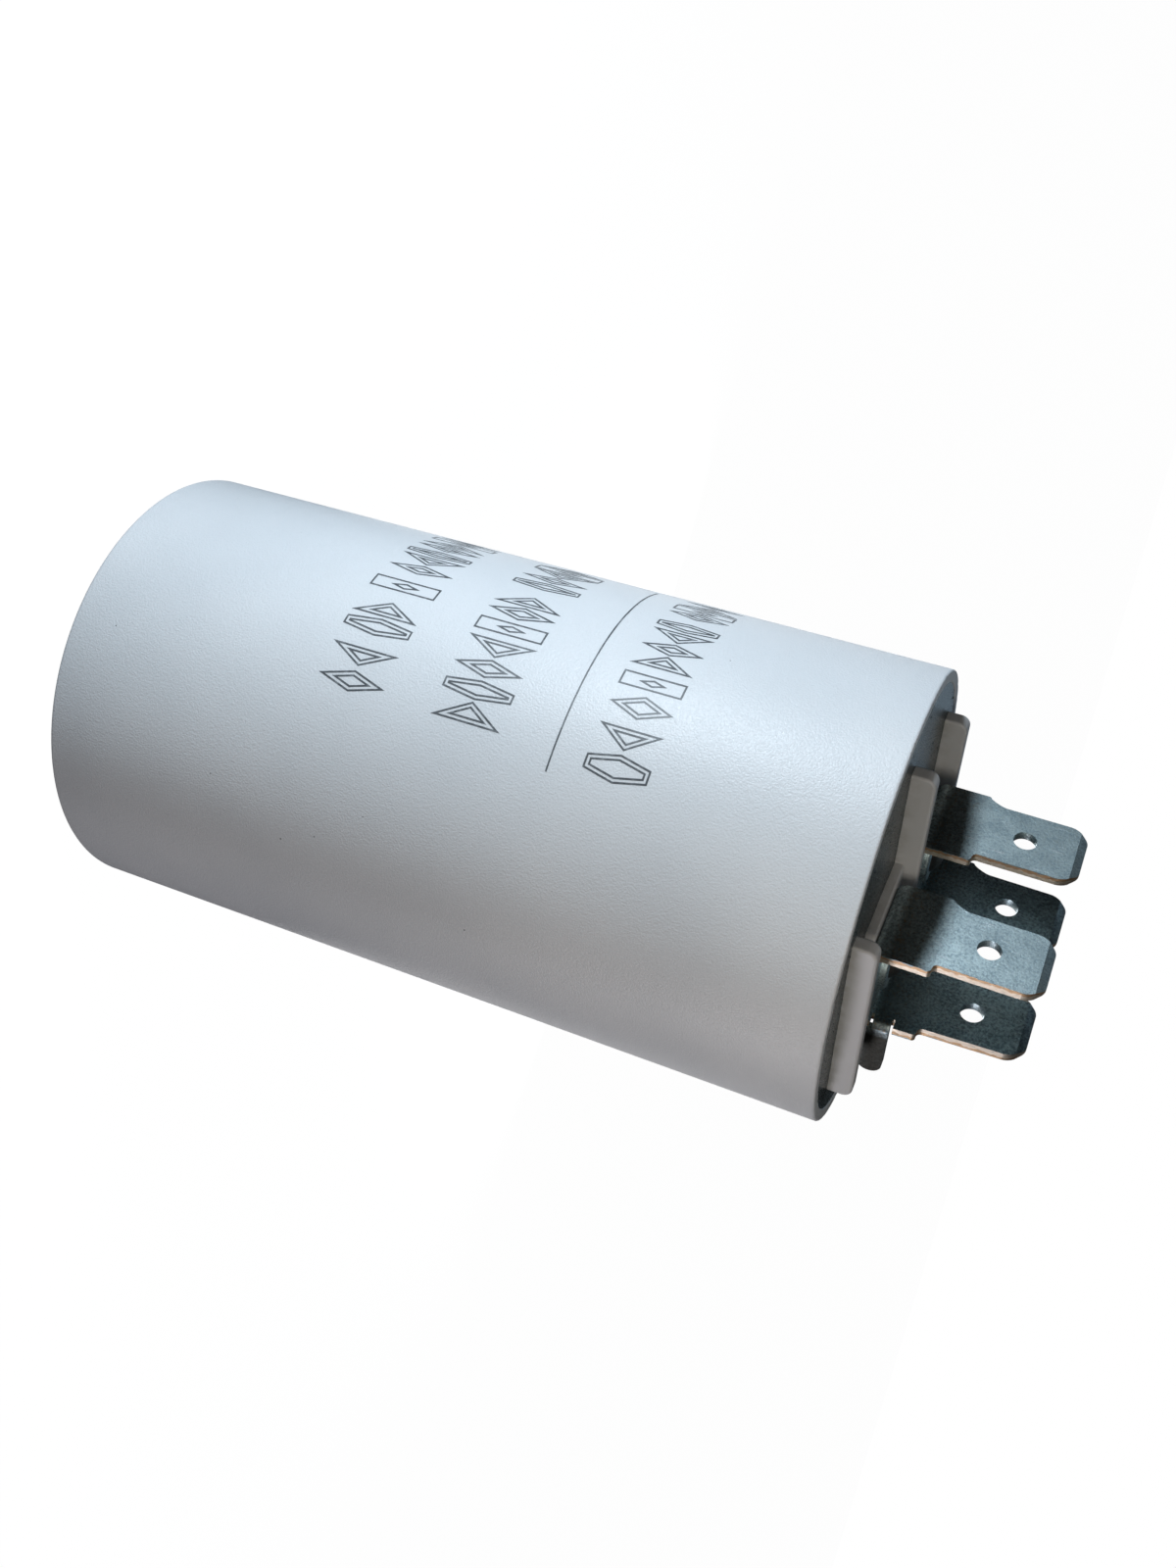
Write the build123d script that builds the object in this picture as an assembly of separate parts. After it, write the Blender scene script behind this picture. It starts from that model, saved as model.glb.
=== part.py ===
from build123d import *
import os

# A motor-run film capacitor in a round plastic can with two double tab terminals.
# Millimetres. The can stands on its closed end at Z = 0, and the terminals point up.
# X runs across the three fences of the terminal board, Y along them.

# Can
CAN_D = 40.0
CAN_H = 72.0
CAN_WALL = 1.15
CAN_FLOOR = 1.5
FOOT_R = 0.4
INNER_FOOT_R = 0.8
RIM_R = 0.2

# Potting resin: how far its surface lies below the rim
RESIN_BELOW_RIM = 0.2

# Terminal board, heights from the rim
BOARD_DEPTH = 2.4
WEB_THICK = 1.2
WEB_HALF_Y = 7.0
SEAT_HALF_X = 9.3
SEAT_HALF_Y = 5.0
SEAT_ABOVE_RIM = 0.8
SEAT_CORNER_R = 0.6
FENCE_ABOVE_RIM = 2.0
FENCE_THICK = 1.4
FENCE_CORNER_R = 0.9
FENCE_EDGE_R = 0.25
MID_FENCE_END_GAP = 3.85
OUTER_FENCE_X = 13.8
OUTER_FENCE_CORNER_GAP = 1.57
SEAT_EDGE_R = 0.2

# Double terminals: one strip bent to a U, a tab on each leg
STRIP_THICK = 0.8
TERMINAL_X = 6.4
ROOT_WIDTH = 8.0
LEG_GAP = 7.7
BEND_INNER_R = 0.2
SHOULDER_ABOVE_RIM = 5.6
SHOULDER_R = 0.4
SHOULDER_CORNER_R = 0.3
TAB_WIDTH = 6.3
TAB_TIP_ABOVE_RIM = 14.2
TAB_HOLE_D = 2.0
TAB_HOLE_FROM_TIP = 4.9
TIP_CHAMFER = 1.1
TIP_BEVEL_LONG = 0.7
TIP_BEVEL_DEEP = 0.22

# Side solder lug, folded off one leg
LUG_LOW_ABOVE_RIM = 1.3
LUG_FOLD_ABOVE_RIM = 2.0
LUG_HIGH_ABOVE_RIM = 3.45
LUG_REACH_Y = 10.3
LUG_NOTCH = 0.25
LUG_PAST_EDGE = 0.1

# Hollow rivets that hold each terminal to the board
RIVET_SHANK_D = 3.2
RIVET_BORE_D = 1.9
RIVET_HEAD_D = 5.4
RIVET_HEAD_THICK = 0.6
RIVET_HEAD_R = 0.25

# Winding inside the can, and the resin gaps that place it
GAP_UNDER_WINDING = 1.6
GAP_OVER_WINDING = 7.6
CORE_D = 8.0
CORE_BORE_D = 5.6
END_METAL_THICK = 0.6
WRAP_THICK = 0.35
WRAP_PAST_END = 0.6

# Leads
WIRE_D = 0.8
SLEEVE_D = 1.7
SLEEVE_GAP_TO_CAN = 0.1
SLEEVE_GAP_TO_WRAP = 0.2
LONG_FOOT_INSET = 4.0
SHORT_FOOT_INSET = 4.5
LONG_TURN_BELOW_BOARD = 3.6
LONG_SLEEVE_RISE = 3.0
SHORT_SLEEVE_RISE = 2.2
WIRE_BEND_R = 1.6
WIRE_OFF_END_METAL = 0.25
WIRE_TOP_PAST_RIVET = 0.35
SOLDER_DOME_D = 3.4
SOLDER_DOME_H = 0.9
JOINT_D = 3.0
JOINT_H = 1.1
JOINT_INSET = 0.6

# Derived sizes
CAN_R = CAN_D / 2
CAN_IN_R = CAN_R - CAN_WALL
RIM_Z = CAN_H
RESIN_Z = RIM_Z - RESIN_BELOW_RIM
BOARD_LOW_Z = RIM_Z - BOARD_DEPTH
SEAT_Z = RIM_Z + SEAT_ABOVE_RIM
FENCE_Z = RIM_Z + FENCE_ABOVE_RIM
STRIP_TOP_Z = SEAT_Z + STRIP_THICK
TIP_Z = RIM_Z + TAB_TIP_ABOVE_RIM
SHOULDER_Z = RIM_Z + SHOULDER_ABOVE_RIM
HOLE_Z = TIP_Z - TAB_HOLE_FROM_TIP
LEG_IN = LEG_GAP / 2
LEG_OUT = LEG_IN + STRIP_THICK
BEND_OUTER_R = BEND_INNER_R + STRIP_THICK
RIVET_HEAD_Z = STRIP_TOP_Z + RIVET_HEAD_THICK
RIVET_FOOT_Z = BOARD_LOW_Z - RIVET_HEAD_THICK
WEB_HALF_X = OUTER_FENCE_X + FENCE_THICK / 2
MID_FENCE_HALF_Y = CAN_IN_R - MID_FENCE_END_GAP
OUTER_FENCE_HALF_Y = ((CAN_IN_R - OUTER_FENCE_CORNER_GAP) ** 2 - WEB_HALF_X ** 2) ** 0.5
END_LOW_Z = CAN_FLOOR + GAP_UNDER_WINDING
END_HIGH_Z = BOARD_LOW_Z - GAP_OVER_WINDING
WINDING_LOW = END_LOW_Z + END_METAL_THICK
WINDING_HIGH = END_HIGH_Z - END_METAL_THICK
WIRE_R = WIRE_D / 2
SLEEVE_R = SLEEVE_D / 2
LONG_LEAD_R = CAN_IN_R - SLEEVE_GAP_TO_CAN - SLEEVE_R
WRAP_R = LONG_LEAD_R - SLEEVE_R - SLEEVE_GAP_TO_WRAP
WINDING_R = WRAP_R - WRAP_THICK
LONG_FOOT_X = WINDING_R - LONG_FOOT_INSET
SHORT_FOOT_X = WINDING_R - SHORT_FOOT_INSET
WIRE_TOP_Z = RIVET_HEAD_Z + WIRE_TOP_PAST_RIVET


def disc(radius, low, high, x=0.0, y=0.0):
    """An upright cylinder from one height to another."""
    return Pos(x, y, low) * extrude(Circle(radius), amount=high - low)


def block(x0, x1, y0, y1, z0, z1):
    """A box between opposite corners."""
    return Pos((x0 + x1) / 2, (y0 + y1) / 2, (z0 + z1) / 2) * Box(x1 - x0, y1 - y0, z1 - z0)


def ring_edges(solid, radius, height):
    """The circular edges of one radius at one height."""
    return [
        e for e in solid.edges().filter_by(GeomType.CIRCLE)
        if abs(e.radius - radius) < 1e-4 and abs(e.center().Z - height) < 1e-4
    ]


# Can: a moulded cup
def make_can():
    outer = disc(CAN_R, 0, RIM_Z)
    outer = fillet(ring_edges(outer, CAN_R, 0), FOOT_R)
    outer = fillet(ring_edges(outer, CAN_R, RIM_Z), RIM_R)
    inner = disc(CAN_IN_R, CAN_FLOOR, RIM_Z + 1)
    inner = fillet(ring_edges(inner, CAN_IN_R, CAN_FLOOR), INNER_FOOT_R)
    return outer - inner


# One fence of the board: a thin wall with rounded top corners
def fence(x, half_y):
    side = Pos(0, 0) * Rectangle(2 * half_y, FENCE_Z - BOARD_LOW_Z)
    top = side.vertices().sort_by(Axis.Y)[-2:]
    side = fillet(top, FENCE_CORNER_R)
    wall = extrude(Plane.YZ * side, amount=FENCE_THICK)
    wall = Pos(x - FENCE_THICK / 2, 0, (FENCE_Z + BOARD_LOW_Z) / 2) * wall
    edges = wall.edges().filter_by_position(Axis.Z, FENCE_Z - 0.01, FENCE_Z + 0.01)
    long_edges = [e for e in edges.filter_by(Axis.Y) if e.length > 2]
    return fillet(long_edges, FENCE_EDGE_R)


# Board: three fences and a raised seat on one web, drilled for the rivets
def make_board():
    seat = block(-SEAT_HALF_X, SEAT_HALF_X, -SEAT_HALF_Y, SEAT_HALF_Y, BOARD_LOW_Z, SEAT_Z)
    seat = fillet(seat.edges().filter_by(Axis.Z), SEAT_CORNER_R)
    seat = fillet(seat.faces().sort_by(Axis.Z)[-1].edges(), SEAT_EDGE_R)
    web = block(-WEB_HALF_X, WEB_HALF_X, -WEB_HALF_Y, WEB_HALF_Y, BOARD_LOW_Z, BOARD_LOW_Z + WEB_THICK)
    board = seat + web + fence(0, MID_FENCE_HALF_Y)
    for side in (-1, 1):
        board = board + fence(side * OUTER_FENCE_X, OUTER_FENCE_HALF_Y)
        board = board - disc(RIVET_SHANK_D / 2, BOARD_LOW_Z - 1, SEAT_Z + 3, side * TERMINAL_X)
    return board


# Outline of a terminal seen from the front: root, shoulders, tab and tip
def terminal_front():
    root, tab = ROOT_WIDTH / 2, TAB_WIDTH / 2
    points = [
        (-root, SEAT_Z), (root, SEAT_Z), (root, SHOULDER_Z), (tab, SHOULDER_Z),
        (tab, TIP_Z), (-tab, TIP_Z), (-tab, SHOULDER_Z), (-root, SHOULDER_Z),
    ]
    outline = Polygon(*points, align=None)
    tips = [v for v in outline.vertices() if abs(v.Y - TIP_Z) < 1e-6]
    outline = chamfer(tips, TIP_CHAMFER)
    inner = [v for v in outline.vertices() if abs(v.Y - SHOULDER_Z) < 1e-6 and abs(abs(v.X) - tab) < 1e-6]
    outline = fillet(inner, SHOULDER_R)
    outer = [v for v in outline.vertices() if abs(v.Y - SHOULDER_Z) < 1e-6 and abs(abs(v.X) - root) < 1e-6]
    return fillet(outer, SHOULDER_CORNER_R)


# Section of a terminal: a U with bevelled tips
def terminal_section():
    dip = TIP_Z - TIP_BEVEL_LONG
    points = [
        (-LEG_OUT, SEAT_Z), (LEG_OUT, SEAT_Z), (LEG_OUT, dip), (LEG_OUT - TIP_BEVEL_DEEP, TIP_Z),
        (LEG_IN + TIP_BEVEL_DEEP, TIP_Z), (LEG_IN, dip), (LEG_IN, STRIP_TOP_Z), (-LEG_IN, STRIP_TOP_Z),
        (-LEG_IN, dip), (-LEG_IN - TIP_BEVEL_DEEP, TIP_Z), (-LEG_OUT + TIP_BEVEL_DEEP, TIP_Z), (-LEG_OUT, dip),
    ]
    section = Polygon(*points, align=None)
    outer = [v for v in section.vertices() if abs(v.Y - SEAT_Z) < 1e-6]
    section = fillet(outer, BEND_OUTER_R)
    inner = [v for v in section.vertices() if abs(v.Y - STRIP_TOP_Z) < 1e-6]
    return fillet(inner, BEND_INNER_R)


# Side lug: the sheet turns outward off the leg's edge and ends in a half round
def side_lug():
    low, high = RIM_Z + LUG_LOW_ABOVE_RIM, RIM_Z + LUG_HIGH_ABOVE_RIM
    fold_z = RIM_Z + LUG_FOLD_ABOVE_RIM
    fold_x = -(ROOT_WIDTH / 2 - BEND_OUTER_R + LUG_PAST_EDGE)
    fold_y = -LEG_OUT - BEND_INNER_R
    plan = Pos(fold_x, fold_y) * (Circle(BEND_OUTER_R) - Circle(BEND_INNER_R))
    plan = plan & (Pos(fold_x - 1, fold_y + 1) * Rectangle(2, 2))
    fold = Pos(0, 0, fold_z) * extrude(plan, amount=high - fold_z)
    x_out = fold_x - BEND_OUTER_R
    tall = high - low
    end_r = tall / 2
    flat = block(x_out, x_out + STRIP_THICK, -LUG_REACH_Y + end_r, fold_y, low, high)
    round_end = Rot(0, 90, 0) * extrude(Circle(end_r), amount=STRIP_THICK)
    round_end = Pos(x_out, -LUG_REACH_Y + end_r, (low + high) / 2) * round_end
    return fold + flat + round_end, fold_x, fold_z, high


# Double terminal with its holes, rivet hole and side lug
def make_terminal(x):
    front = extrude(Plane.XZ * terminal_front(), amount=LEG_OUT + 1, both=True)
    solid = extrude(Plane.YZ * terminal_section(), amount=ROOT_WIDTH, both=True) & front
    hole = Rot(90, 0, 0) * extrude(Circle(TAB_HOLE_D / 2), amount=LEG_OUT + 1, both=True)
    solid = solid - Pos(0, 0, HOLE_Z) * hole
    solid = solid - disc(RIVET_SHANK_D / 2, SEAT_Z - 1, STRIP_TOP_Z + 1)
    lug, fold_x, fold_z, high = side_lug()
    notch = LUG_NOTCH
    solid = solid - block(-ROOT_WIDTH, fold_x, -LEG_OUT - 1, -LEG_IN + 0.5, fold_z - notch, high + notch)
    solid = solid + lug
    return Pos(x, 0, 0) * solid


# Hollow rivet
def make_rivet(x):
    head = disc(RIVET_HEAD_D / 2, STRIP_TOP_Z, RIVET_HEAD_Z)
    head = fillet(ring_edges(head, RIVET_HEAD_D / 2, RIVET_HEAD_Z), RIVET_HEAD_R)
    foot = disc(RIVET_HEAD_D / 2, RIVET_FOOT_Z, BOARD_LOW_Z)
    foot = fillet(ring_edges(foot, RIVET_HEAD_D / 2, RIVET_FOOT_Z), RIVET_HEAD_R)
    shank = disc(RIVET_SHANK_D / 2, RIVET_FOOT_Z, RIVET_HEAD_Z)
    bore = disc(RIVET_BORE_D / 2, RIVET_FOOT_Z - 1, RIVET_HEAD_Z + 1)
    return Pos(x, 0, 0) * (head + foot + shank - bore)


# Winding, its core, its wrap and the sprayed metal on its ends
def make_winding():
    return disc(WINDING_R, WINDING_LOW, WINDING_HIGH) - disc(CORE_D / 2, WINDING_LOW - 1, WINDING_HIGH + 1)


def make_core():
    low, high = END_LOW_Z, END_HIGH_Z
    return disc(CORE_D / 2, low, high) - disc(CORE_BORE_D / 2, low - 1, high + 1)


def make_wrap():
    low, high = WINDING_LOW - WRAP_PAST_END, WINDING_HIGH + WRAP_PAST_END
    return disc(WRAP_R, low, high) - disc(WINDING_R, low - 1, high + 1)


def make_end_metal(low, high):
    return disc(WINDING_R, low, high) - disc(CORE_D / 2, low - 1, high + 1)


# A round bar along a bent path in the XZ plane
def bent_bar(points, radius, inner_radius=0.0):
    path = FilletPolyline(*[(x, 0, z) for x, z in points], radius=WIRE_BEND_R)
    start = Plane(origin=path @ 0, z_dir=path % 0)
    bar = sweep(start * Circle(radius), path=path)
    if inner_radius:
        bar = bar - sweep(start * Circle(inner_radius), path=path)
    return bar


# Paths of the two lead wires
LONG_FOOT_Z = END_LOW_Z - WIRE_OFF_END_METAL - WIRE_R
LONG_TURN_Z = BOARD_LOW_Z - LONG_TURN_BELOW_BOARD
LONG_PATH = [
    (-LONG_FOOT_X, LONG_FOOT_Z), (-LONG_LEAD_R, LONG_FOOT_Z), (-LONG_LEAD_R, LONG_TURN_Z),
    (-TERMINAL_X, LONG_TURN_Z), (-TERMINAL_X, WIRE_TOP_Z),
]
SHORT_FOOT_Z = END_HIGH_Z + WIRE_OFF_END_METAL + WIRE_R
SHORT_PATH = [(SHORT_FOOT_X, SHORT_FOOT_Z), (TERMINAL_X, SHORT_FOOT_Z), (TERMINAL_X, WIRE_TOP_Z)]
SLEEVE_LONG_PATH = [
    (-LONG_LEAD_R, LONG_FOOT_Z + LONG_SLEEVE_RISE), (-LONG_LEAD_R, LONG_TURN_Z),
    (-TERMINAL_X, LONG_TURN_Z), (-TERMINAL_X, RIVET_FOOT_Z),
]
SLEEVE_SHORT_PATH = [(TERMINAL_X, SHORT_FOOT_Z + SHORT_SLEEVE_RISE), (TERMINAL_X, RIVET_FOOT_Z)]


def straight_tube(x, low, high, radius, inner_radius):
    return disc(radius, low, high, x) - disc(inner_radius, low - 1, high + 1, x)


# Solder: a dome on each rivet that fills the bore above the resin
def make_terminal_solder(x, wire):
    dome_r = SOLDER_DOME_D / 2
    ball_r = (dome_r ** 2 + SOLDER_DOME_H ** 2) / (2 * SOLDER_DOME_H)
    ball = Pos(x, 0, RIVET_HEAD_Z + SOLDER_DOME_H - ball_r) * Sphere(ball_r)
    dome = ball & disc(dome_r + 1, RIVET_HEAD_Z, RIVET_HEAD_Z + SOLDER_DOME_H + 1, x)
    fill = disc(RIVET_BORE_D / 2, RESIN_Z, RIVET_HEAD_Z, x)
    return dome + fill - wire


# Solder: a low mound round each wire on the sprayed metal
def make_end_solder(x, face_z, up, wire):
    mound = Sphere(JOINT_D / 2)
    mound = mound & block(-JOINT_D, JOINT_D, -JOINT_D, JOINT_D, 0, JOINT_H)
    if not up:
        mound = Rot(180, 0, 0) * mound
    return Pos(x, 0, face_z) * mound - wire


def one(shape):
    """The single solid of a shape."""
    solids = shape.solids()
    if len(solids) != 1:
        raise ValueError("expected one solid, found %d" % len(solids))
    return solids[0]


can = one(make_can())
board = one(make_board())
parts = {
    "can": can,
    "terminal_board": board,
    "terminal_left": one(make_terminal(-TERMINAL_X)),
    "terminal_right": one(make_terminal(TERMINAL_X)),
    "rivet_left": one(make_rivet(-TERMINAL_X)),
    "rivet_right": one(make_rivet(TERMINAL_X)),
    "film_winding": one(make_winding()),
    "winding_core": one(make_core()),
    "winding_wrap": one(make_wrap()),
    "end_metal_lower": one(make_end_metal(END_LOW_Z, WINDING_LOW)),
    "end_metal_upper": one(make_end_metal(WINDING_HIGH, END_HIGH_Z)),
    "lead_long": one(bent_bar(LONG_PATH, WIRE_R)),
    "lead_short": one(bent_bar(SHORT_PATH, WIRE_R)),
    "sleeve_long": one(bent_bar(SLEEVE_LONG_PATH, SLEEVE_R, WIRE_R)),
    "sleeve_short": one(straight_tube(TERMINAL_X, SLEEVE_SHORT_PATH[0][1], RIVET_FOOT_Z, SLEEVE_R, WIRE_R)),
}
parts["solder_left"] = one(make_terminal_solder(-TERMINAL_X, parts["lead_long"]))
parts["solder_right"] = one(make_terminal_solder(TERMINAL_X, parts["lead_short"]))
parts["solder_lower"] = one(make_end_solder(-LONG_FOOT_X - JOINT_INSET, END_LOW_Z, False, parts["lead_long"]))
parts["solder_upper"] = one(make_end_solder(SHORT_FOOT_X - JOINT_INSET, END_HIGH_Z, True, parts["lead_short"]))

# Resin: everything inside the can that no other piece fills, up to its surface
resin = disc(CAN_IN_R, CAN_FLOOR, RESIN_Z)
resin = fillet(ring_edges(resin, CAN_IN_R, CAN_FLOOR), INNER_FOOT_R)
for name, solid in parts.items():
    if name != "can":
        resin = resin - solid
parts["potting_resin"] = one(resin)

os.makedirs("parts", exist_ok=True)
for name, solid in parts.items():
    export_step(solid, os.path.join("parts", name + ".step"))
    box = solid.bounding_box()
    print("%-18s volume %9.2f  size %.2f %.2f %.2f" % (name, solid.volume, box.size.X, box.size.Y, box.size.Z))
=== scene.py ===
import math
import random

import bmesh
import bpy
from bpy.props import FloatProperty, FloatVectorProperty, IntProperty, PointerProperty
from mathutils import Euler, Matrix, Vector, noise


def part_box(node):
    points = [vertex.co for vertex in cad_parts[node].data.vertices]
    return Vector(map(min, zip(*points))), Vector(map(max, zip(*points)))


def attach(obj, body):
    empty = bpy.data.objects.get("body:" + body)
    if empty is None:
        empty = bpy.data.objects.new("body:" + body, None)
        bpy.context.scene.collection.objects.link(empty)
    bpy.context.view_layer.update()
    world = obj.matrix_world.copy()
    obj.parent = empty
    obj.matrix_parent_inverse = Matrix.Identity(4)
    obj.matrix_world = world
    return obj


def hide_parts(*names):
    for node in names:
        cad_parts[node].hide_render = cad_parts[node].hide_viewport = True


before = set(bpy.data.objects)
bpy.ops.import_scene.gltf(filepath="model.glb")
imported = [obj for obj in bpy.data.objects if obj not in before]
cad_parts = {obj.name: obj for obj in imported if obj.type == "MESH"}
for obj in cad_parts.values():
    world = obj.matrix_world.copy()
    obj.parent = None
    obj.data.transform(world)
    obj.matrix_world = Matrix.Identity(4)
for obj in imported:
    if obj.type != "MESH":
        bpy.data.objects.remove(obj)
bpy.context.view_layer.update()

bl_info = {
    "name": "Round film capacitor",
    "version": (1, 0, 0),
    "blender": (4, 5, 0),
    "location": "View3D > Sidebar > Capacitor",
    "description": "Builds a round film capacitor with its plastic can, printed marks and tab terminals",
    "category": "Object",
}

MM = 0.001
JOIN = 1e-7             # points nearer than this, in metres, are one point
WELD = 1e-6             # the same for packed faces and for the stage's cards
STRIP = 0.8 * MM        # thickness of the terminals' strip
CAN_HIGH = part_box("can")[1]
RESIN_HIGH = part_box("potting_resin")[1]
BOARD_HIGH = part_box("terminal_board")[1]
SEAT_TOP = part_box("terminal_left")[0].z
LEG_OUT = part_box("terminal_left")[1].y
LEG_IN = LEG_OUT - STRIP
LEG_FOOT = SEAT_TOP + 1.4 * MM      # a leg is straight from here up
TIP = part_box("terminal_left")[1].z


def size(name, text, millimetres):
    """A length that a user can change."""
    return FloatProperty(name=name, description=text, default=millimetres * MM, unit="LENGTH", precision=5)


def share(name, text, value):
    """A number without a unit."""
    return FloatProperty(name=name, description=text, default=value)


def colour(name, text, value):
    """A linear colour that a user can change."""
    return FloatVectorProperty(
        name=name, description=text, default=value, subtype="COLOR", size=3, min=0, max=1,
    )


# Settings

class CanSettings(bpy.types.PropertyGroup):
    wall: size("Wall", "Thickness of the can's side", 1.15)
    floor: size("Floor", "Thickness of the closed end", 1.5)
    foot_radius: size("Foot radius", "Rounding of the closed end's outer edge", 0.4)
    rim_radius: size("Rim radius", "Rounding of the open end's edges", 0.2)
    inner_radius: size("Inner radius", "Rounding inside at the closed end", 0.8)
    print_room: size("Print room", "How far the side lies below the printed film", 0.015)
    rim_wear: size("Rim wear", "How unevenly the rim is trimmed", 0.07)
    steps: IntProperty(name="Steps", description="Faces round the can", default=360, min=64, max=720)
    tint: colour("Colour", "White plastic", (0.80, 0.82, 0.84))
    tint_low: colour("Second colour", "The cooler patches of the plastic", (0.74, 0.765, 0.79))
    dust: colour("Dust", "Faint dull spots", (0.30, 0.31, 0.32))
    dots: colour("Dots", "A few tiny dark dots", (0.10, 0.11, 0.12))
    grain: size("Grain", "Width of one dimple of the moulded grain", 0.18)


class PrintSettings(bpy.types.PropertyGroup):
    stroke: size("Stroke", "Width of a printed line", 0.165)
    line_gap: size("Line gap", "Distance between a figure's two lines", 0.20)
    film: size("Film", "Thickness of the printed film", 0.012)
    ink: colour("Ink", "Grey ink", (0.10, 0.11, 0.12))
    ink_worn: colour("Worn ink", "Where the ink is thin", (0.24, 0.26, 0.28))


class ResinSettings(bpy.types.PropertyGroup):
    spacing: size("Spacing", "Distance between the points of the resin's surface", 0.25)
    lift: size("Lift", "How far the surface lies over the cast block", 0.012)
    ripple: size("Ripple", "Height of the surface's slow waves", 0.05)
    wall_climb: size("Wall climb", "How far the resin climbs the can's wall", 0.08)
    board_climb: size("Board climb", "How far the resin climbs the board", 0.14)
    specks: IntProperty(name="Specks", description="Number of bubbles and crumbs", default=90, min=0, max=400)
    tint: colour("Colour", "Grey resin", (0.080, 0.104, 0.112))
    tint_low: colour("Second colour", "Darker clouds in the resin", (0.040, 0.052, 0.056))
    crumb: colour("Crumbs", "Dark crumbs and bubbles", (0.035, 0.035, 0.035))


class BoardSettings(bpy.types.PropertyGroup):
    tint: colour("Colour", "Natural white plastic", (0.62, 0.625, 0.63))
    # Painted shade: this colour darkens the board's foot, where it meets the resin.
    tint_low: colour("Second colour", "Handled and stained places", (0.42, 0.415, 0.39))


class TerminalSettings(bpy.types.PropertyGroup):
    edge: size("Edge", "Rounding of the pressed edges", 0.07)
    tip_corner: size("Tip corners", "Rounding of the corners at a tab's tip", 0.55)
    tab_half: size("Half tab", "Half the width of a tab", 3.15)
    tab_long: size("Tab length", "From a tab's shoulders to its tip", 8.6)
    hole_down: size("Hole depth", "From a tab's tip to the middle of its hole", 4.9)
    sweep: size("Sweep", "Length of the curve from the outer shoulder to the tab's edge", 1.9)
    top_corner: size("Top corners", "Rounding of the corners at a tab's very end", 0.35)
    tin: colour("Tin", "Bright tin plate", (0.78, 0.93, 0.95))
    tin_low: colour("Dull tin", "Dull spots of the plate", (0.35, 0.45, 0.49))
    scratch: colour("Scratches", "Fine bright scratches", (0.95, 0.98, 1.0))
    brass: colour("Brass", "Bare metal on the cut edges", (1.0, 0.89, 0.74))
    brass_torn: colour("Torn brass", "The rougher half of a cut edge", (0.74, 0.50, 0.30))
    stain_and_shade: colour("Stain", "Brown flux left near the rivets", (0.26, 0.16, 0.07))
    # Painted shade: this dark colour is laid on a terminal's root and its lug, where shade falls.
    lug_and_root_shade: colour("Flux", "Dark film on the lugs and at the root", (0.036, 0.034, 0.028))


class InsideSettings(bpy.types.PropertyGroup):
    film: colour("Film", "Rolled metallised film", (0.62, 0.62, 0.64))
    core: colour("Core", "Plastic core", (0.75, 0.74, 0.70))
    wrap: colour("Wrap", "Clear wrap", (0.72, 0.68, 0.55))
    zinc: colour("Zinc", "Sprayed metal", (0.55, 0.55, 0.56))
    wire: colour("Wire", "Tinned wire", (0.68, 0.66, 0.62))
    sleeve: colour("Sleeve", "Black sleeve", (0.035, 0.035, 0.04))
    solder: colour("Solder", "Solder", (0.26, 0.25, 0.235))


class StageSettings(bpy.types.PropertyGroup):
    floor_half: FloatProperty(name="Floor", description="Half the floor's width", default=40.0, unit="LENGTH")
    floor_white: share("Floor white", "Share of plain white in the floor", 0.92)
    floor_glow: share("Floor glow", "Brightness of that plain white", 1.07)
    floor_tint: colour("Floor colour", "The floor's own colour, which takes the shadow", (0.86, 0.87, 0.88))
    floor_bounce: colour("Floor bounce", "The floor's colour for diffuse light", (0.14, 0.14, 0.145))
    key_power: share("Key", "Watts of the cool lamp near the floor", 0.195)
    end_power: share("End", "Watts of the small warm lamp beside the terminals", 0.033)
    side_power: share("Side", "Watts of the low lamp on the shaded side", 0.138)
    back_power: share("Back", "Watts of the low lamp behind", 0.085)
    ambient: share("Ambient", "Strength of the light from all round", 0.045)
    ambient_tint: colour("Ambient colour", "Colour of that light", (0.78, 0.87, 1.0))
    flag_tint: colour("Flag colour", "Colour of the dark studio flags", (0.9, 0.95, 1.0))
    flag_grey: share("Flags", "Brightness of the dark studio flags", 0.01)
    flag_start: share("Flags from", "First azimuth of the dark flags in degrees", 8.0)
    flag_end: share("Flags to", "Last azimuth of the dark flags in degrees", 262.0)
    flag_gap: FloatProperty(
        name="Gap", description="Height of the white gap behind", default=0.03, unit="LENGTH",
    )
    card_start: share("Card from", "First azimuth of the bluish card in degrees", 313.0)
    card_tint: colour("Card colour", "Colour of the bluish card behind", (0.62, 0.82, 1.0))
    card_blue: share("Card", "Brightness of the bluish card behind", 0.40)
    shade_gap: size("Shade gap", "From a front leg's inner face to the card that shades it", 0.3)


SETTINGS = (
    ("cap_can", CanSettings), ("cap_print", PrintSettings), ("cap_resin", ResinSettings),
    ("cap_board", BoardSettings), ("cap_terminal", TerminalSettings), ("cap_inside", InsideSettings),
    ("cap_stage", StageSettings),
)


# Shared helpers for meshes

def wobble(x, y, seed):
    """A smooth number between about -1 and 1 at a point of a plane. Each seed has a plane of its own."""
    return noise.noise(Vector((x, y, 37.0 * seed)))


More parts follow.
